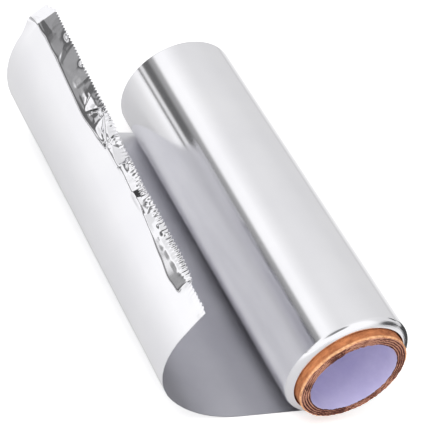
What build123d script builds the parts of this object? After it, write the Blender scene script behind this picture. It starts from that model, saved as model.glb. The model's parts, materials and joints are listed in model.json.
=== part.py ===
"""Roll of aluminium foil on a spiral-wound cardboard core.

The roll lies on its side with its free end unrolled from beneath it and curling up.
Origin: on the core's axis, halfway along the foil's width, so the surface that the roll
lies on is one roll radius below. +Z is up, +Y runs along the axis and the free end lies
towards -X. The inner turns stand out a little at the -Y end and are sunk as much at the
+Y end, as on a roll whose turns have crept sideways. Millimetres and degrees throughout.
"""
from build123d import *
import math
import os

# The roll
foil_width = 300.0
core_bore_radius = 34.0
core_wall = 8.0
core_near_proud = 7.0     # how far the core stands out of the inner turns at the -Y end
core_far_proud = 3.0      # and at the +Y end
winding_clearance = 0.2   # between the core and the first turn
winding_thickness = 6.8   # all the turns together
turn_creep = 6.0          # how far the inner turns lie towards -Y of the outer ones
shoulder_radius = 5.0     # rounding of the turns at the -Y end
sheet_thickness = 0.4     # a stand-in: the foil itself is about 0.016

# The core's cut ends
outer_rounding = 2.0
inner_rounding = 0.8

# The free end, followed from under the roll to its cut edge
flat_length = 67.0
rise_radius = 107.6
rise_angle = 41.5
crest_radius = 68.0
crest_angle = 63.5
lean_length = 18.0
fold_radius = 6.0
fold_angle = 25.0
flap_length = 15.0

# The sawn edge, slanting from the leaning stretch at -Y to the end of the flap at +Y
lean_cut_off = 1.0        # how much of the leaning stretch is cut off at -Y
tooth_pitch = 3.0
tooth_depth = 0.7

# Places along the axis, from -Y to +Y
foil_start = -foil_width / 2
foil_end = foil_width / 2
inner_turn_start = foil_start - turn_creep
inner_turn_end = foil_end - turn_creep
core_start = inner_turn_start - core_near_proud
core_end = inner_turn_end + core_far_proud

# Radii
core_radius = core_bore_radius + core_wall
first_turn_radius = core_radius + winding_clearance
roll_radius = first_turn_radius + winding_thickness

# The shoulder, which can't be deeper than the turns
shoulder_size = min(shoulder_radius, winding_thickness)
shoulder_base = roll_radius - shoulder_size
shoulder_start = foil_start - shoulder_size

# Local x is the distance from the axis, and local y is the place along it.
half_section = Plane(origin=(0, 0, 0), x_dir=(0, 0, 1), z_dir=(-1, 0, 0))


def heading(angle):
    """Direction in the side view, turned up from -X by an angle."""
    return Vector(-math.cos(math.radians(angle)), math.sin(math.radians(angle)))


def make_core():
    """Cardboard tube, softened where its ends were cut."""
    corners = [
        (core_bore_radius, core_start),
        (core_radius, core_start),
        (core_radius, core_end),
        (core_bore_radius, core_end),
    ]
    wall = make_face(Polyline(*corners, close=True))
    wall_middle = core_bore_radius + core_wall / 2
    outer_corners = wall.vertices().filter_by(lambda corner: corner.X > wall_middle)
    wall = fillet(outer_corners, outer_rounding)
    inner_corners = wall.vertices().filter_by(lambda corner: corner.X == core_bore_radius)
    wall = fillet(inner_corners, inner_rounding)
    return revolve(half_section * wall, axis=Axis.Y)


def make_turns():
    """All the turns on the core, rounded over at -Y and sunk towards the core at +Y."""
    sides = Polyline(
        (shoulder_base, shoulder_start),
        (first_turn_radius, inner_turn_start),
        (first_turn_radius, inner_turn_end),
        (roll_radius, foil_end),
        (roll_radius, foil_start),
    )
    shoulder = RadiusArc((shoulder_base, shoulder_start), (roll_radius, foil_start), -shoulder_size)
    return revolve(half_section * make_face(sides.edges() + shoulder.edges()), axis=Axis.Y)


def free_end_side(depth):
    """Side view of the free end at a depth above its lower face: runs and tangent arcs."""
    arcs_and_runs = [
        (rise_radius, rise_angle),
        (crest_radius, crest_angle),
        (None, lean_length),
        (fold_radius, fold_angle),
        (None, flap_length),
    ]
    height = depth - roll_radius
    side = [Line((0, height), (-flat_length, height))]
    angle = 0.0
    for radius, amount in arcs_and_runs:
        start = side[-1] @ 1
        if radius is None:
            side.append(Line(start, start + heading(angle) * amount))
        else:
            bend = radius - depth
            centre = start + heading(angle + 90) * bend
            middle = centre - heading(angle + amount / 2 + 90) * bend
            angle += amount
            side.append(ThreePointArc(start, middle, centre - heading(angle + 90) * bend))
    return side


def make_free_end():
    """The unrolled sheet, uncut."""
    lower = free_end_side(0)
    upper = free_end_side(sheet_thickness)
    root = Line(lower[0] @ 0, upper[0] @ 0)
    tip = Line(lower[-1] @ 1, upper[-1] @ 1)
    section = make_face(Curve(lower + upper + [root, tip]).edges())
    return extrude(Plane.XZ * section, foil_width / 2, both=True)


def make_saw_block():
    """Toothed block that trims the free end along its slanting edge."""
    side = free_end_side(0)
    lean = side[3]
    near_corner = lean @ 1 - (lean % 1) * lean_cut_off
    far_corner = side[-1] @ 1
    normal = heading(rise_angle + crest_angle + fold_angle / 2)
    slant = (far_corner - near_corner).dot(normal)
    tooth_count = round(foil_width / tooth_pitch)
    edge = []
    for half_tooth in range(2 * tooth_count + 1):
        share = half_tooth / (2 * tooth_count)
        depth = tooth_depth * (half_tooth % 2)
        edge.append((foil_start + share * foil_width, share * slant - depth))
    back = slant + flap_length
    outline = Polyline(*edge, (foil_end, back), (foil_start, back), close=True)
    facing = Vector(normal.X, 0, normal.Y)
    cut_plane = Plane(
        origin=(near_corner.X, 0, near_corner.Y),
        x_dir=(0, 1, 0),
        z_dir=Vector(0, 1, 0).cross(facing),
    )
    return extrude(cut_plane * make_face(outline), flap_length, both=True)


cardboard_core = make_core()
foil_web = make_turns() + (make_free_end() - make_saw_block())

os.makedirs("parts", exist_ok=True)
export_step(cardboard_core, "parts/cardboard_core.step")
export_step(foil_web, "parts/foil_web.step")
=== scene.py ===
"""Looks of the aluminium foil roll, built around its CAD frame. Metres and radians."""
import json
import math

import bpy
import numpy as np
from mathutils import Matrix, Vector


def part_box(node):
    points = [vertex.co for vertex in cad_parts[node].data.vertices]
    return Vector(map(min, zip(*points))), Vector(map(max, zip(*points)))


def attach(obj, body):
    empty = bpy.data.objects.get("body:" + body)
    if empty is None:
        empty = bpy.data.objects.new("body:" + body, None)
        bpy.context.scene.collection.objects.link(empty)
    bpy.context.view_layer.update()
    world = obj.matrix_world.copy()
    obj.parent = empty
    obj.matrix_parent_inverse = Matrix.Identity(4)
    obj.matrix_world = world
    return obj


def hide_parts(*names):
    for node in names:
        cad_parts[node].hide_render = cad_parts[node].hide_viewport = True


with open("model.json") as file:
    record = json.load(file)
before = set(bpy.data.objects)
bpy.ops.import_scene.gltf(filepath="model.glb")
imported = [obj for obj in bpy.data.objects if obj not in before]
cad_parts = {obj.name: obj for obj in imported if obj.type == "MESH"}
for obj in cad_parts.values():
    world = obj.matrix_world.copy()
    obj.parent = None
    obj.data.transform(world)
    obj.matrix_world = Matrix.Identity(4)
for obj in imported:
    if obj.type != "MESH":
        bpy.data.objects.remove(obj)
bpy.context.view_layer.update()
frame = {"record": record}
MM = 0.001

# ---------------------------------------------------------------- sizes from the frame
foil_low, foil_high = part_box("foil_web")
core_low, core_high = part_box("cardboard_core")
floor_height = foil_low.z
roll_radius = foil_high.x
core_radius = core_high.x
bore_radius = next(
    mount["dims"]["r_mm"] * MM
    for mount in frame["record"]["mounts"]
    if mount["name"] == "core_bore"
)
sheet_end = foil_high.y                # the outer turns and the free end reach this far
sheet_start = -sheet_end               # the origin is halfway along the foil's width
inner_turn_start = foil_low.y
turn_creep = sheet_start - inner_turn_start
inner_turn_end = sheet_end - turn_creep
WINDING_CLEARANCE = 0.2 * MM
first_turn_radius = core_radius + WINDING_CLEARANCE

# ---------------------------------------------------------------- the free end's shape
SHEET_THICKNESS = 0.2 * MM
FLAT_LENGTH = 66.6 * MM
RISE_RADIUS = 107.6 * MM
RISE_ANGLE = 41.5
# The crest is a little tighter at the near end than at the far end.
CREST_RADII = (59.6 * MM, 67.5 * MM)
CREST_ANGLES = (66.0, 63.5)
LEAN_LENGTH = 17 * MM                  # from the crest to where the last stretch begins
TOOTH_PITCH = 3 * MM
TOOTH_DEPTH = 1.4 * MM

# What changes along the width is a table of (place along Y in mm, value), eased between.
FLAP_LENGTHS = ((-150, 7.4), (-50, 10.9), (50, 14.2), (142, 17.3), (150, 13.5))

# Each crease: its distance from the sawn edge in mm, its angle in degrees and the length
# of sheet that it takes in mm.
FAR_CREASE = (
    ((-20, 13), (0, 14.5), (25, 17), (45, 18.8), (70, 17.5), (100, 16.8), (142, 17.3), (150, 15)),
    ((-8, 0), (14, 9), (36, 16), (52, 19), (66, 21.8), (150, 22.2)),
    ((0, 2.5), (40, 2), (60, 3), (150, 3)),
)
NEAR_CREASE = (
    (
        (-128, 12), (-120, 13.5), (-108, 15), (-92, 13.5), (-60, 10.6),
        (-20, 9.6), (-8, 10.6), (12, 7.4), (34, 4),
    ),
    ((-127, 0), (-119, 21), (-84, 22), (-60, 31), (-50, 34), (-20, 35), (10, 34), (36, 0)),
    ((-130, 1.8), (-70, 1.4), (36, 1.4)),
)
LEAF_CREASE = (
    ((-128, 3.5), (-119, 4.5), (-108, 6.5), (-92, 7.6), (-60, 9)),
    ((-127, 0), (-119, 15), (-84, 15), (-60, 5), (-50, 0)),
    ((-130, 1.6), (-70, 1.2)),
)

# The crinkles of the last stretch. Flute heights and reaches are in mm, and crumple heights
# are slopes.
CRUMPLE_CELLS = (6 * MM, 12 * MM)      # fine and coarse facets
CRUMPLE_REACH = 40 * MM                # how far from the edge facets are laid out
CRUMPLE_HEIGHTS = (
    (-135, 0.02), (-100, 0.12), (-60, 0.22), (10, 0.34), (34, 0.42), (52, 0.32), (66, 0.05), (150, 0.05),
)
FLUTE_HEIGHTS = ((-140, 0.2), (-122, 0.45), (-60, 0.62), (-10, 0.62), (40, 0.45), (62, 0.14), (150, 0.1))
FLUTE_REACHES = ((-120, 6.5), (30, 5.5), (62, 2.4), (150, 2.2))
# Two round dents by the far half of the edge: place along Y, distance from the edge, size
# and depth, all in mm. Smaller ones follow, one in every 9 mm or so.
ROUND_DENTS = ((112, 0.6, 3.2, 1.1), (84, 0.4, 2.4, 0.9))
SMALL_DENT_PLACES = np.linspace(34, -78, 14)
FAR_STRIP = 8.5 * MM                   # the strip along the +Y side that is bent outwards
STRIP_SLOPE = -0.4
STRIP_REACH = 26 * MM                  # how far from the edge the strip is bent

# The mesh: rows along the sheet, the last ones closer together, and columns across it.
SMOOTH_ROWS = 26
FINE_ROWS = 50
FINE_STRETCH = 21 * MM
TOOTH_SHARE = 0.15                     # the share of the fine rows that the teeth move
COLUMNS_PER_TOOTH = 6
SIDE_STEP = 0.25 * MM                  # step of the fine side view
SIDE_REACH = 0.27                      # and its length, longer than the sheet


def along_width(table, places):
    """Value of a table of (place in mm, value) at places in metres, eased between them."""
    knots = np.array([row[0] for row in table]) * MM
    values = np.array([row[1] for row in table], float)
    index = np.clip(np.searchsorted(knots, places) - 1, 0, len(knots) - 2)
    share = np.clip((places - knots[index]) / (knots[index + 1] - knots[index]), 0, 1)
    share = share * share * (3 - 2 * share)
    return values[index] * (1 - share) + values[index + 1] * share


def wave_field(seed, shortest, longest, count=24):
    """Smooth random height between about -1 and 1 at points in space."""
    rng = np.random.default_rng(seed)
    direction = rng.normal(size=(count, 3))
    direction /= np.linalg.norm(direction, axis=1)[:, None]
    length = np.exp(rng.uniform(math.log(shortest), math.log(longest), count))
    phase = rng.uniform(0, 2 * math.pi, count)
    pull = direction * (2 * math.pi / length)[:, None]

    def field(points):
        return np.sin(points @ pull.T + phase).sum(-1) / math.sqrt(2 * count)

    return field


def crumple_field(seed, cell, width, height):
    """Flat facets with sharp creases, as height over a sheet, with slopes of about 1."""
    rng = np.random.default_rng(seed)
    count = int(width * height / cell**2)
    centres = rng.uniform((0, 0), (width, height), (count, 2))
    sign = rng.choice((-1.0, 1.0), count) * rng.uniform(0.3, 1.0, count)

    def field(across, along):
        shape = across.shape
        points = np.stack([across.ravel(), along.ravel()], 1)
        out = np.empty(len(points))
        for start in range(0, len(points), 4096):
            part = points[start : start + 4096]
            square = ((part[:, None, :] - centres[None]) ** 2).sum(2)
            near = np.argpartition(square, 1, axis=1)[:, :2]
            rows = np.arange(len(part))
            first, second = square[rows, near[:, 0]], square[rows, near[:, 1]]
            nearest = np.where(first <= second, near[:, 0], near[:, 1])
            out[start : start + 4096] = np.abs(second - first) / (2 * cell) * sign[nearest]
        return out.reshape(shape)

    return field


def new_mesh(name, points, faces, materials, face_material=None, smooth=True):
    mesh = bpy.data.meshes.new(name)
    mesh.from_pydata(points, [], faces)
    mesh.polygons.foreach_set("use_smooth", [smooth] * len(mesh.polygons))
    piece = bpy.data.objects.new(name, mesh)
    bpy.context.scene.collection.objects.link(piece)
    for material in materials:
        mesh.materials.append(material)
    if face_material is not None:
        mesh.polygons.foreach_set("material_index", face_material)
    mesh.update()
    return piece


def revolved(name, profile, segments, materials, profile_material=None, displace=None):
    """Closed ring about the Y axis from a closed profile of (radius, place along Y)."""
    profile = np.asarray(profile, float)
    turn = np.linspace(0, 2 * math.pi, segments, endpoint=False)
    radius = profile[:, 0][:, None] * np.ones(segments)[None]
    place = profile[:, 1][:, None] * np.ones(segments)[None]
    if displace is not None:
        radius, place = displace(radius, place, np.broadcast_to(turn, radius.shape))
    points = np.stack([radius * np.sin(turn), place, radius * np.cos(turn)], -1).reshape(-1, 3)
    count = len(profile)
    faces = []
    face_material = []
    for i in range(count):
        following = (i + 1) % count
        for j in range(segments):
            k = (j + 1) % segments
            faces.append(
                (i * segments + j, following * segments + j, following * segments + k, i * segments + k)
            )
            face_material.append(0 if profile_material is None else profile_material[i])
    return new_mesh(name, points.tolist(), faces, materials, face_material)


# ---------------------------------------------------------------- materials
def new_material(name):
    material = bpy.data.materials.new(name)
    material.use_nodes = True
    nodes = material.node_tree.nodes
    shader = nodes["Principled BSDF"]
    return material, nodes, material.node_tree.links, shader


def math_node(nodes, links, operation, first, second):
    """Two-input sum, product and so on, where an input is a socket or a number."""
    node = nodes.new("ShaderNodeMath")
    node.operation = operation
    for socket, value in zip(node.inputs, (first, second)):
        if isinstance(value, (int, float)):
            socket.default_value = value
        else:
            links.new(value, socket)
    return node.outputs[0]


def stretched_noise(nodes, links, stretch, scale, detail=3.0, roughness=0.5):
    """Noise in the piece's own coordinates, stretched by a factor along each axis."""
    place = nodes.new("ShaderNodeTexCoord")
    mapping = nodes.new("ShaderNodeMapping")
    mapping.inputs["Scale"].default_value = stretch
    noise = nodes.new("ShaderNodeTexNoise")
    noise.inputs["Scale"].default_value = scale
    noise.inputs["Detail"].default_value = detail
    noise.inputs["Roughness"].default_value = roughness
    links.new(place.outputs["Object"], mapping.inputs["Vector"])
    links.new(mapping.outputs["Vector"], noise.inputs["Vector"])
    return noise.outputs["Fac"]


def spread(nodes, links, value, low, high):
    """Map a noise's middle range to the range low to high."""
    mapped = nodes.new("ShaderNodeMapRange")
    mapped.inputs["From Min"].default_value = 0.3
    mapped.inputs["From Max"].default_value = 0.7
    mapped.inputs["To Min"].default_value = low
    mapped.inputs["To Max"].default_value = high
    links.new(value, mapped.inputs["Value"])
    return mapped.outputs["Result"]


def grey(level):
    return (level, level, level)


def mixed(nodes, links, amount, first, second):
    """Blend of two colours, each a socket or three numbers."""
    node = nodes.new("ShaderNodeMix")
    node.data_type = "RGBA"
    links.new(amount, node.inputs[0])
    for socket, value in ((node.inputs[6], first), (node.inputs[7], second)):
        if isinstance(value, tuple):
            socket.default_value = (*value, 1)
        else:
            links.new(value, socket)
    return node.outputs[2]


def ramp(nodes, links, value, stops):
    """Colour ramp with stops of (position, colour)."""
    node = nodes.new("ShaderNodeValToRGB")
    elements = node.color_ramp.elements
    while len(elements) < len(stops):
        elements.new(0.5)
    for element, (position, colour) in zip(elements, stops):
        element.position = position
        element.color = (*colour, 1)
    links.new(value, node.inputs["Fac"])
    return node.outputs["Color"]


def add_bump(nodes, links, shader, height, distance, strength=1.0):
    bump = nodes.new("ShaderNodeBump")
    bump.inputs["Distance"].default_value = distance
    bump.inputs["Strength"].default_value = strength
    links.new(height, bump.inputs["Height"])
    links.new(bump.outputs["Normal"], shader.inputs["Normal"])
    return bump


# The darker and the lighter colour of each side.
BRIGHT_COLOURS = ((0.895, 0.892, 0.925), (0.935, 0.932, 0.958))
MATTE_COLOURS = ((0.76, 0.76, 0.795), (0.83, 0.83, 0.86))
ROLLING_LINE_HEIGHT = 0.012 * MM


def make_foil_material(name, colours, roughness):
    """Rolled aluminium with fine rolling lines along the web."""
    material, nodes, links, shader = new_material(name)
    shader.inputs["Metallic"].default_value = 1.0
    lines = stretched_noise(nodes, links, (1.5, 260, 1.5), 14, detail=4)
    clouds = stretched_noise(nodes, links, (1, 1, 1), 22, detail=3)
    colour = mixed(nodes, links, spread(nodes, links, clouds, 0, 1), *colours)
    links.new(colour, shader.inputs["Base Color"])
    links.new(spread(nodes, links, lines, *roughness), shader.inputs["Roughness"])
    add_bump(nodes, links, shader, lines, ROLLING_LINE_HEIGHT, 0.5)
    return material


bright_foil = make_foil_material("foil_bright_side", BRIGHT_COLOURS, (0.06, 0.12))
wound_foil = make_foil_material("foil_wound", BRIGHT_COLOURS, (0.09, 0.14))
matte_foil = make_foil_material("foil_matte_side", MATTE_COLOURS, (0.32, 0.40))

# The core's materials. The liner and the side each have a darker and a lighter colour.
PLY = 1.75 * MM                        # from one glue line of the cut end to the next
LINER_COLOURS = ((0.6, 0.56, 0.82), (0.7, 0.66, 0.9))
SIDE_COLOURS = ((0.24, 0.068, 0.024), (0.74, 0.28, 0.11))
# A painted highlight along the side's near rim: its pale colour, and the band that it covers.
RIM_HIGHLIGHT_COLOUR = (1.0, 0.57, 0.3)
RIM_HIGHLIGHT_BAND = (1.2 * MM, 2.6 * MM)     # from the near end: wholly pale with the painted highlight, and not at all
# Colours of the cut plies by height, from glue line to torn fibre.
PLY_COLOURS = ((0.42, (0.04, 0.012, 0.01)), (0.68, (0.25, 0.075, 0.05)), (1.0, (0.7, 0.36, 0.24)))


def make_core_liner_material():
    """Smooth lining paper with short fibres."""
    material, nodes, links, shader = new_material("core_liner")
    fibres = stretched_noise(nodes, links, (1, 1, 1), 60, detail=6, roughness=0.7)
    colour = mixed(nodes, links, spread(nodes, links, fibres, 0, 1), *LINER_COLOURS)
    links.new(colour, shader.inputs["Base Color"])
    shader.inputs["Roughness"].default_value = 0.9
    add_bump(nodes, links, shader, fibres, 0.06 * MM)
    return material


def make_core_side_material():
    """Kraft with long mottled fibres, and a patchy painted highlight along the near rim."""
    material, nodes, links, shader = new_material("core_side")
    fibres = stretched_noise(nodes, links, (1, 2.5, 1), 110, detail=7, roughness=0.72)
    spots = stretched_noise(nodes, links, (1, 1, 1), 420, detail=4, roughness=0.6)
    colour = mixed(nodes, links, spread(nodes, links, fibres, 0, 1), *SIDE_COLOURS)
    place = nodes.new("ShaderNodeTexCoord")
    parts = nodes.new("ShaderNodeSeparateXYZ")
    links.new(place.outputs["Object"], parts.inputs["Vector"])
    # Painted highlight: the near rim is mixed towards a pale colour, in patches.
    rim = nodes.new("ShaderNodeMapRange")
    rim.interpolation_type = "SMOOTHSTEP"
    rim.inputs["From Min"].default_value = core_low.y + RIM_HIGHLIGHT_BAND[1]
    rim.inputs["From Max"].default_value = core_low.y + RIM_HIGHLIGHT_BAND[0]
    links.new(parts.outputs["Y"], rim.inputs["Value"])
    patchy = spread(nodes, links, spots, 0.2, 1.1)
    painted_highlight = math_node(nodes, links, "MULTIPLY", rim.outputs["Result"], patchy)
    links.new(mixed(nodes, links, painted_highlight, colour, RIM_HIGHLIGHT_COLOUR), shader.inputs["Base Color"])
    shader.inputs["Roughness"].default_value = 0.85
    add_bump(nodes, links, shader, spots, 0.3 * MM)
    return material


def make_core_face_material():
    """Cut ply edges: dark glue lines between paler torn fibres, as rings about the axis."""
    material, nodes, links, shader = new_material("core_face")
    place = nodes.new("ShaderNodeTexCoord")
    across = nodes.new("ShaderNodeVectorMath")
    across.operation = "MULTIPLY"
    across.inputs[1].default_value = (1, 0, 1)
    links.new(place.outputs["Object"], across.inputs[0])
    radius = nodes.new("ShaderNodeVectorMath")
    radius.operation = "LENGTH"
    links.new(across.outputs["Vector"], radius.inputs[0])
    wander = stretched_noise(nodes, links, (1, 1, 1), 55, detail=3)
    torn = stretched_noise(nodes, links, (1, 1, 1), 650, detail=5, roughness=0.75)
    shift = math_node(nodes, links, "MULTIPLY", wander, 2.4 * MM)
    moved = math_node(nodes, links, "ADD", radius.outputs["Value"], shift)
    layer = math_node(nodes, links, "FRACT", math_node(nodes, links, "DIVIDE", moved, PLY), 0.0)
    line = math_node(nodes, links, "ABSOLUTE", math_node(nodes, links, "SUBTRACT", layer, 0.5), 0.0)
    height = math_node(nodes, links, "MULTIPLY_ADD", line, 1.5)
    links.new(math_node(nodes, links, "MULTIPLY", torn, 0.6), height.node.inputs[2])
    links.new(ramp(nodes, links, height, PLY_COLOURS), shader.inputs["Base Color"])
    shader.inputs["Roughness"].default_value = 0.9
    add_bump(nodes, links, shader, height, 0.5 * MM)
    return material


core_side_material = make_core_side_material()
core_face_material = make_core_face_material()
core_liner_material = make_core_liner_material()


# ---------------------------------------------------------------- the wound turns
RIDGE_HEIGHT = 0.012 * MM
RIDGE_PITCHES = (0.55 * MM, 1.3 * MM)
FAR_RIDGE_SCALE = 5                    # the far end's ridges are this many times as high
SHOULDER_ANGLE = 66
SHOULDER_SETBACK = 0.5 * MM            # how far the shoulder stays back from the CAD's end
GROOVE_RADIUS = first_turn_radius + 1.1 * MM   # the turns stand back from the core here
GROOVE_STEP = 2.4 * MM                 # the last and longest of the steps into the groove
END_RING = 0.2 * MM                    # from the outer turns' ends to the first ring inside
TURNS_SEGMENTS = 360


def turns_profile():
    """Closed profile: outer surface, rounded near end, groove, hole and dished far end."""
    points = [(roll_radius, sheet_end)]
    for place in np.linspace(sheet_end - END_RING, sheet_start + END_RING, 46):
        points.append((roll_radius, place))
    last_angle = math.radians(SHOULDER_ANGLE)
    depth = (roll_radius - GROOVE_RADIUS) / (1 - math.cos(last_angle))
    length = (sheet_start - inner_turn_start - SHOULDER_SETBACK) / math.sin(last_angle)
    for angle in np.linspace(0.06, last_angle, 70):
        points.append((
            roll_radius - depth * (1 - math.cos(angle)),
            sheet_start - length * math.sin(angle),
        ))
    for share in np.linspace(0.15, 1, 6):
        points.append((
            GROOVE_RADIUS + share * (first_turn_radius - GROOVE_RADIUS),
            points[-1][1] + share * GROOVE_STEP,
        ))
    for share in np.linspace(0, 1, 60)[:-1]:
        radius = first_turn_radius + share * (roll_radius - first_turn_radius)
        points.append((radius, inner_turn_end + turn_creep * share))
    return points


def displace_turns(radius, place, turn):
    """Layer ridges on the ends and a faint unevenness all round."""
    spots = np.stack([radius * np.sin(turn), place, radius * np.cos(turn)], -1)
    uneven = wave_field(3, 50 * MM, 160 * MM)(spots)
    wander = wave_field(4, 25 * MM, 80 * MM)
    depth = roll_radius - radius
    fine_pitch, coarse_pitch = RIDGE_PITCHES
    ridge = np.sin(2 * math.pi * depth / fine_pitch + 1.5 * wander(spots))
    ridge += 0.7 * np.sin(2 * math.pi * depth / coarse_pitch + 2.0 * wander(spots * 1.7))
    near_end = np.clip((sheet_start + 0.5 * MM - place) / (2 * MM), 0, 1)
    far_end = np.clip(depth / (1 * MM), 0, 1) * (place > 0)
    on_end = np.maximum(near_end, far_end)
    strength = np.where(place < 0, near_end, far_end * FAR_RIDGE_SCALE)
    place = place + ridge * strength * RIDGE_HEIGHT
    radius = radius - (0.02 + 0.03 * (1 + uneven)) * MM * (1 - on_end)
    return radius, place


def make_turns():
    profile = turns_profile()
    turns = revolved("foil_turns", profile, TURNS_SEGMENTS, [wound_foil], displace=displace_turns)
    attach(turns, "root")
    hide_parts("foil_web")
    return turns


# ---------------------------------------------------------------- the free end
def heading_and_place(columns):
    """Fine side view for each column: run length, heading, distance out, height and edge."""
    run = np.arange(0, SIDE_REACH, SIDE_STEP)
    share = (columns - sheet_start) / (sheet_end - sheet_start)
    crest_radius = CREST_RADII[0] + share * (CREST_RADII[1] - CREST_RADII[0])
    crest_angle = np.radians(CREST_ANGLES[0] + share * (CREST_ANGLES[1] - CREST_ANGLES[0]))
    rise_length = RISE_RADIUS * math.radians(RISE_ANGLE)
    crest_length = crest_radius * crest_angle
    crest_start = FLAT_LENGTH + rise_length
    edge = crest_start + crest_length + LEAN_LENGTH + along_width(FLAP_LENGTHS, columns) * MM
    grid = run[:, None]
    heading = np.radians(RISE_ANGLE) * np.clip((grid - FLAT_LENGTH) / rise_length, 0, 1)
    heading = heading + crest_angle * np.clip((grid - crest_start) / crest_length, 0, 1)
    for from_edge, angle, taken in (FAR_CREASE, NEAR_CREASE, LEAF_CREASE):
        middle = edge - along_width(from_edge, columns) * MM
        stretch = along_width(taken, columns) * MM
        turned = np.clip((grid - middle) / stretch + 0.5, 0, 1)
        heading = heading + np.radians(along_width(angle, columns)) * turned
    out = (np.cumsum(np.cos(heading), axis=0) - np.cos(heading)) * SIDE_STEP
    up = (np.cumsum(np.sin(heading), axis=0) - np.sin(heading)) * SIDE_STEP
    return run, heading, out, up, edge


def sample(run, values, wanted):
    """Values of each column at wanted run lengths, one column at a time."""
    result = np.empty(wanted.shape)
    for column in range(wanted.shape[1]):
        result[:, column] = np.interp(wanted[:, column], run, values[:, column])
    return result


def tooth_wave(columns):
    phase = (columns - sheet_start) / TOOTH_PITCH
    return np.abs((phase % 1) * 2 - 1)


def crumples(to_edge, across):
    """Sharp facets on the flap, strongest a little beyond the middle of the width."""
    width = sheet_end - sheet_start
    flap = along_width(FLAP_LENGTHS, across) * MM
    on_flap = np.clip((flap + 1 * MM - to_edge) / (3 * MM), 0, 1)
    fine_cell, coarse_cell = CRUMPLE_CELLS
    fine = crumple_field(11, fine_cell, width, CRUMPLE_REACH)(across - sheet_start, to_edge)
    coarse = crumple_field(12, coarse_cell, width, CRUMPLE_REACH)(across - sheet_start, to_edge)
    return on_flap * along_width(CRUMPLE_HEIGHTS, across) * (0.3 * fine + coarse)


def comb_flutes(to_edge, columns):
    """Short flutes that run back from the teeth, one to a tooth and uneven in height."""
    height = along_width(FLUTE_HEIGHTS, columns) * MM
    reach = along_width(FLUTE_REACHES, columns) * MM
    uneven = 0.68 + 0.32 * np.sin(columns / (5.1 * MM)) * np.sin(columns / (12.7 * MM) + 1)
    wave = np.cos(2 * math.pi * (columns - sheet_start) / TOOTH_PITCH)
    return height * uneven * wave * np.clip(1 - to_edge / reach, 0, 1)


def dents(to_edge, across):
    """Depth of the round dents along the edge."""
    rng = np.random.default_rng(5)
    places = list(ROUND_DENTS)
    for place in SMALL_DENT_PLACES:
        places.append((
            place + rng.uniform(-2, 2),
            rng.uniform(1.5, 4.5),
            rng.uniform(1.4, 2.8),
            rng.uniform(0.4, 0.9),
        ))
    depth = 0
    for place, from_edge, size, deepest in places:
        sideways = (across - place * MM) / (1.5 * size * MM)
        inwards = (to_edge - from_edge * MM) / (size * MM)
        depth = depth + deepest * MM * np.exp(-(sideways**2 + inwards**2))
    return depth


def sheet_relief(to_edge, columns):
    """Height, towards the roll, of all that is crinkled or bent on the last stretch."""
    across = np.broadcast_to(columns, to_edge.shape)
    relief = crumples(to_edge, across) + comb_flutes(to_edge, columns) - dents(to_edge, across)
    strip = np.clip(across - sheet_end + FAR_STRIP, 0, None) * STRIP_SLOPE
    return relief + strip * np.clip((STRIP_REACH - to_edge) / (8 * MM), 0, 1)


def uneven_edge(columns, edge):
    """The cut edge's place along the sheet, a little wavy and ragged at the near corner."""
    wavy = 0.35 * MM * np.sin(columns / (9 * MM)) * np.sin(columns / (23 * MM))
    near_corner = np.exp(-(columns - sheet_start) / (12 * MM))
    notches = 1 + np.sin(columns / (0.9 * MM)) * np.sin(columns / (2.3 * MM))
    return edge + wavy - 0.8 * MM * near_corner * notches


def sheet_rows(columns, edge):
    """Run length of each row in each column, with the teeth cut into the last few."""
    smooth_share = np.linspace(0, 1, SMOOTH_ROWS, endpoint=False)[:, None]
    fine_share = np.linspace(0, 1, FINE_ROWS)[:, None]
    on_teeth = np.clip((fine_share - 1 + TOOTH_SHARE) / TOOTH_SHARE, 0, 1)
    teeth = TOOTH_DEPTH * tooth_wave(columns) * on_teeth
    return np.vstack([
        smooth_share * (edge - FINE_STRETCH),
        edge - FINE_STRETCH * (1 - fine_share) - teeth,
    ])


def sheet_faces(rows, cols):
    """Faces of a closed sheet, and the material of each: 0 outside and at the rim, 1 inside."""
    low = np.arange(rows * cols).reshape(rows, cols)
    top = low + rows * cols

    def quads(a, b, c, d):
        return np.stack([a.ravel(), b.ravel(), c.ravel(), d.ravel()], 1).tolist()

    outside = quads(low[:-1, :-1], low[:-1, 1:], low[1:, 1:], low[1:, :-1])
    inside = quads(top[:-1, :-1], top[1:, :-1], top[1:, 1:], top[:-1, 1:])
    rim = quads(low[-1, :-1], low[-1, 1:], top[-1, 1:], top[-1, :-1])
    rim += quads(low[0, 1:], low[0, :-1], top[0, :-1], top[0, 1:])
    rim += quads(low[1:, 0], low[:-1, 0], top[:-1, 0], top[1:, 0])
    rim += quads(low[:-1, -1], low[1:, -1], top[1:, -1], top[:-1, -1])
    return outside + inside + rim, [0] * len(outside) + [1] * len(inside) + [0] * len(rim)


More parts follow.
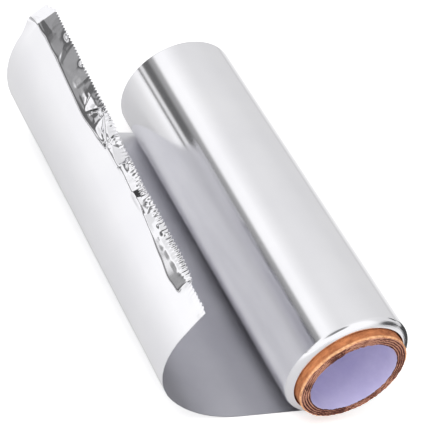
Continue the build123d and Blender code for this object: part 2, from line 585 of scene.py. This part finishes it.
def make_free_end():
    """Thin sheet that leaves the roll underneath, curls up and ends in a sawn, bent edge."""
    column_count = round((sheet_end - sheet_start) / TOOTH_PITCH) * COLUMNS_PER_TOOTH
    columns = np.linspace(sheet_start, sheet_end, column_count + 1)
    run, heading, out, up, edge = heading_and_place(columns)
    edge = uneven_edge(columns, edge)
    wanted = sheet_rows(columns, edge)
    row_heading = sample(run, heading, wanted)
    inward = np.stack([np.sin(row_heading), np.zeros_like(row_heading), np.cos(row_heading)], -1)
    lower = np.stack([
        -sample(run, out, wanted),
        np.broadcast_to(columns, wanted.shape),
        floor_height + sample(run, up, wanted),
    ], -1)
    waves = wave_field(21, 60 * MM, 200 * MM)(lower)
    lifted = np.clip(wanted / (60 * MM) - 1.1, 0, 1)
    relief = sheet_relief(edge - wanted, columns) + 0.25 * MM * (1 + waves) * lifted
    lower = lower + inward * relief[..., None]
    upper = lower + inward * SHEET_THICKNESS
    points = np.vstack([lower.reshape(-1, 3), upper.reshape(-1, 3)])
    faces, sides = sheet_faces(*wanted.shape)
    sheet = new_mesh("foil_free_end", points.tolist(), faces, [bright_foil, matte_foil], sides)
    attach(sheet, "root")
    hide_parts("foil_web")
    return sheet


# ---------------------------------------------------------------- the core
CORE_ROUNDING = 1.1 * MM
CORE_SEGMENTS = 320
ROUGH_REACH = 1.5 * MM                 # the cut ends are rough this far along the core
FRAY_REACH = 3 * MM                    # and the outer rim is frayed this far
SIDE, FACE, LINER = range(3)


def core_profile():
    """Closed profile and the material of each of its stretches."""
    points = []
    kinds = []

    def add(radius, place, kind):
        points.append((radius, place))
        kinds.append(kind)

    near, far = core_low.y, core_high.y
    for place in np.linspace(far - CORE_ROUNDING, near + CORE_ROUNDING, 60):
        add(core_radius, place, SIDE)
    for angle in np.linspace(0, math.pi / 2, 12)[1:]:
        kind = SIDE if angle < 1.2 else FACE
        add(
            core_radius - CORE_ROUNDING * (1 - math.cos(angle)),
            near + CORE_ROUNDING * (1 - math.sin(angle)),
            kind,
        )
    for radius in np.linspace(core_radius - CORE_ROUNDING, bore_radius, 56)[1:-1]:
        add(radius, near, FACE)
    for place in (near, *np.linspace(near + 0.3 * MM, far - 0.3 * MM, 60), far):
        add(bore_radius, place, LINER)
    for radius in np.linspace(bore_radius, core_radius - CORE_ROUNDING, 40)[1:]:
        add(radius, far, FACE)
    for angle in np.linspace(math.pi / 2, 0, 8)[1:-1]:
        add(
            core_radius - CORE_ROUNDING * (1 - math.cos(angle)),
            far - CORE_ROUNDING * (1 - math.sin(angle)),
            SIDE,
        )
    return points, kinds


def displace_core(radius, place, turn):
    """Rough plies on the cut ends and a frayed outer rim."""
    spots = np.stack([radius * np.sin(turn), place, radius * np.cos(turn)], -1)
    fray = wave_field(31, 1.2 * MM, 5 * MM, 40)(spots)
    slow = wave_field(32, 10 * MM, 40 * MM)(spots)
    middle = (core_low.y + core_high.y) / 2
    inwards = np.where(place < middle, 1.0, -1.0)
    to_end = np.minimum(place - core_low.y, core_high.y - place)
    on_face = np.clip(1 - to_end / ROUGH_REACH, 0, 1)
    ply = np.sin(2 * math.pi * (core_radius - radius) / PLY + 1.2 * slow)
    inset = 0.4 + 0.3 * ply + 0.3 * fray
    place = place + inwards * on_face * np.clip(inset, 0, 1) * MM
    on_rim = np.clip(1 - to_end / FRAY_REACH, 0, 1) * (radius > bore_radius + 2 * MM)
    radius = radius - on_rim * np.clip(0.05 + 0.35 * fray + 0.1 * slow, 0, 0.9) * MM
    return radius, place


def make_core():
    points, kinds = core_profile()
    core = revolved(
        "core_tube",
        points,
        CORE_SEGMENTS,
        [core_side_material, core_face_material, core_liner_material],
        kinds,
        displace_core,
    )
    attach(core, "root")
    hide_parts("cardboard_core")
    return core


# ---------------------------------------------------------------- floor, light and camera
# What reflections of the surroundings show, as (elevation in degrees, level): all round, and
# on the free end's side.
TENT_LEVELS = ((-90, 1.0), (-4, 0.74), (4, 0.72), (30, 0.74), (50, 0.8), (90, 0.9))
LEFT_LEVELS = (
    (-90, 1.0), (-3.4, 1.0), (-1.8, 0.2), (1.4, 0.2), (4, 0.85), (6.6, 0.85), (9, 0.13),
    (17, 0.13), (20, 0.34), (24.5, 0.36), (28, 1.04), (38, 1.06), (46, 0.92), (55, 0.82), (90, 0.9),
)
# Where the left levels apply: azimuth from +Y towards +X, elevation, and the angles from that
# direction at which they apply wholly and not at all.
LEFT_SIDE = (-50, 0, 48, 68)
# Light and dark cards around the object, placed in the same way, and the level of each.
CARDS = (
    ((-160, 28, 45, 65), 1.08),
    ((73, 15, 6, 10), 0.03),
    ((120, 8, 10, 20), 0.1),
    ((2, 10, 16, 28), 0.05),
    ((-125, 53, 12, 24), 0.25),
    ((-96, 24, 10, 18), 1.05),
    ((-20, 1, 8, 15), 1.05),
)
DIFFUSE_LEVEL = 0.72                   # what the surroundings give to diffuse surfaces

# What reflections of the floor show, as (place along X in metres, level): painted shade, lowest by and
# under the roll, and painted light further out.
FLOOR_LEVELS = (
    (-1.2, 1.15), (-0.7, 1.2), (-0.4, 1.03), (-0.27, 0.86), (-0.19, 0.68), (-0.13, 0.6),
    (0.0, 0.5), (0.04, 0.5), (0.1, 0.9), (0.2, 1.0), (0.36, 0.93), (0.6, 0.72), (1.0, 0.58), (1.2, 0.58),
)
FLOOR_REACH = 1.2
FLOOR_HALF_SIZE = 6.0
FLOOR_GREY = 0.88
FLOOR_GLOW = 0.4                       # added for the camera, directly or through glass
# A wedge of floor that runs out from beside the near end and shows reflections painted shade, nearly
# black, placed as the cards are.
WEDGE_TIP_X = 0.03
WEDGE = (86, 0, 20, 27)
# The share of a reflection that is this pattern and not the floor's own shading: outside
# the wedge, and in it.
PATTERN_SHARE = 0.5
WEDGE_SHARE = 0.92

CAMERA_PLACE = (-0.7147, -0.7060, 0.6902)
CAMERA_AZIMUTH = 43.63
CAMERA_ELEVATION = 35.11
CAMERA_ROLL = -28.27
CAMERA_LENS = 135.65


def towards(nodes, links, direction, azimuth, elevation, inner, outer):
    """1 within an angle of a direction (azimuth from +Y towards +X), and 0 beyond another."""
    turn, lift = math.radians(azimuth), math.radians(elevation)
    dot = nodes.new("ShaderNodeVectorMath")
    dot.operation = "DOT_PRODUCT"
    dot.inputs[1].default_value = (
        math.sin(turn) * math.cos(lift),
        math.cos(turn) * math.cos(lift),
        math.sin(lift),
    )
    links.new(direction, dot.inputs[0])
    mapped = nodes.new("ShaderNodeMapRange")
    mapped.interpolation_type = "SMOOTHSTEP"
    mapped.inputs["From Min"].default_value = math.cos(math.radians(outer))
    mapped.inputs["From Max"].default_value = math.cos(math.radians(inner))
    links.new(dot.outputs["Value"], mapped.inputs["Value"])
    return mapped.outputs["Result"]


def floor_wedge(nodes, links, place):
    """1 in the wedge of painted shade beside the near end, and 0 elsewhere."""
    from_tip = nodes.new("ShaderNodeVectorMath")
    from_tip.operation = "SUBTRACT"
    from_tip.inputs[1].default_value = (WEDGE_TIP_X, sheet_start, floor_height)
    links.new(place, from_tip.inputs[0])
    direction = nodes.new("ShaderNodeVectorMath")
    direction.operation = "NORMALIZE"
    links.new(from_tip.outputs["Vector"], direction.inputs[0])
    return towards(nodes, links, direction.outputs["Vector"], *WEDGE)


def floor_pattern(nodes, links, place, wedge):
    """Painted shade and light across the floor, at the levels that its reflections show."""
    parts = nodes.new("ShaderNodeSeparateXYZ")
    links.new(place, parts.inputs["Vector"])
    across = nodes.new("ShaderNodeMapRange")
    across.inputs["From Min"].default_value = -FLOOR_REACH
    across.inputs["From Max"].default_value = FLOOR_REACH
    links.new(parts.outputs["X"], across.inputs["Value"])
    stops = [((x + FLOOR_REACH) / (2 * FLOOR_REACH), grey(level)) for x, level in FLOOR_LEVELS]
    levels = ramp(nodes, links, across.outputs["Result"], stops)
    return mixed(nodes, links, wedge, levels, grey(0.0))


def make_floor_material():
    """White to the camera, while reflections see it partly as a glowing pattern of painted shade and
    light.
    """
    material, nodes, links, shader = new_material("floor_white")
    shader.inputs["Base Color"].default_value = (*grey(FLOOR_GREY), 1)
    shader.inputs["Roughness"].default_value = 1.0
    shader.inputs["Specular IOR Level"].default_value = 0.0
    path = nodes.new("ShaderNodeLightPath")
    camera_ray, glass_ray = path.outputs["Is Camera Ray"], path.outputs["Is Transmission Ray"]
    seen = math_node(nodes, links, "MAXIMUM", camera_ray, glass_ray)
    glow = nodes.new("ShaderNodeEmission")
    links.new(math_node(nodes, links, "MULTIPLY", seen, FLOOR_GLOW), glow.inputs["Strength"])
    lit = nodes.new("ShaderNodeAddShader")
    links.new(shader.outputs["BSDF"], lit.inputs[0])
    links.new(glow.outputs["Emission"], lit.inputs[1])
    place = nodes.new("ShaderNodeTexCoord").outputs["Object"]
    # The wedge where reflections see painted shade, nearly black.
    wedge = floor_wedge(nodes, links, place)
    # The painted shade and light glow here, for glossy rays only.
    reflected = nodes.new("ShaderNodeEmission")
    links.new(floor_pattern(nodes, links, place, wedge), reflected.inputs["Color"])
    share = math_node(nodes, links, "MULTIPLY_ADD", wedge, WEDGE_SHARE - PATTERN_SHARE)
    share.node.inputs[2].default_value = PATTERN_SHARE
    shown = nodes.new("ShaderNodeMixShader")
    links.new(math_node(nodes, links, "MULTIPLY", path.outputs["Is Glossy Ray"], share), shown.inputs[0])
    links.new(lit.outputs["Shader"], shown.inputs[1])
    links.new(reflected.outputs["Emission"], shown.inputs[2])
    links.new(shown.outputs["Shader"], nodes["Material Output"].inputs["Surface"])
    return material


def make_floor():
    """White floor that keeps the shadow."""
    signs = ((-1, -1), (1, -1), (1, 1), (-1, 1))
    corners = [(x * FLOOR_HALF_SIZE, y * FLOOR_HALF_SIZE, floor_height) for x, y in signs]
    floor = new_mesh("floor", corners, [(0, 1, 2, 3)], [make_floor_material()], smooth=False)
    return floor


def make_world():
    """White studio: white to the camera, soft light on the object, and for reflections
    a pale tent with its own levels on the left and light and dark cards in it."""
    world = bpy.data.worlds.new("studio")
    bpy.context.scene.world = world
    world.use_nodes = True
    nodes, links = world.node_tree.nodes, world.node_tree.links
    direction = nodes.new("ShaderNodeTexCoord").outputs["Generated"]
    parts = nodes.new("ShaderNodeSeparateXYZ")
    links.new(direction, parts.inputs["Vector"])
    height = math_node(nodes, links, "MULTIPLY_ADD", parts.outputs["Z"], 0.5)
    height.node.inputs[2].default_value = 0.5

    def by_elevation(levels):
        stops = [((math.sin(math.radians(angle)) + 1) / 2, grey(level)) for angle, level in levels]
        return ramp(nodes, links, height, stops)

    tent = by_elevation(TENT_LEVELS)
    left = by_elevation(LEFT_LEVELS)
    reflected = mixed(nodes, links, towards(nodes, links, direction, *LEFT_SIDE), tent, left)
    for card, level in CARDS:
        on_card = towards(nodes, links, direction, *card)
        reflected = mixed(nodes, links, on_card, reflected, grey(level))
    path = nodes.new("ShaderNodeLightPath")
    shown = mixed(nodes, links, path.outputs["Is Glossy Ray"], grey(DIFFUSE_LEVEL), reflected)
    shown = mixed(nodes, links, path.outputs["Is Camera Ray"], shown, grey(1.0))
    links.new(shown, nodes["Background"].inputs["Color"])
    nodes["Background"].inputs["Strength"].default_value = 1.0


def add_area_light(name, place, target, size, power):
    """Large round lamp that reflections don't see."""
    light = bpy.data.lights.new(name, "AREA")
    light.shape = "DISK"
    light.size = size
    light.energy = power
    lamp = bpy.data.objects.new(name, light)
    lamp.location = place
    lamp.rotation_euler = (Vector(target) - Vector(place)).to_track_quat("-Z", "Y").to_euler()
    lamp.visible_glossy = False
    bpy.context.scene.collection.objects.link(lamp)
    return lamp


def make_camera():
    """Looks down along the roll from its free end's side, tilted as the photograph is."""
    azimuth, elevation, roll = np.radians((CAMERA_AZIMUTH, CAMERA_ELEVATION, CAMERA_ROLL))
    forward = Vector((
        math.sin(azimuth) * math.cos(elevation),
        math.cos(azimuth) * math.cos(elevation),
        -math.sin(elevation),
    ))
    level = forward.cross(Vector((0, 0, 1))).normalized()
    upright = level.cross(forward)
    up = upright * math.cos(roll) + level * math.sin(roll)
    data = bpy.data.cameras.new("camera")
    data.sensor_width = 36
    data.lens = CAMERA_LENS
    data.clip_end = 100
    camera = bpy.data.objects.new("camera", data)
    turned = Matrix((forward.cross(up), up, -forward)).transposed().to_4x4()
    camera.matrix_world = Matrix.Translation(CAMERA_PLACE) @ turned
    bpy.context.scene.collection.objects.link(camera)
    bpy.context.scene.camera = camera


make_turns()
make_free_end()
make_core()
make_floor()
make_world()
add_area_light("key", (-0.9, -0.2, 1.2), (0, 0, 0), 0.9, 8)
add_area_light("fill", (-0.5, -1.1, 0.45), (0, -0.1, 0), 0.7, 3.5)
make_camera()
bpy.context.scene.view_settings.view_transform = "Standard"
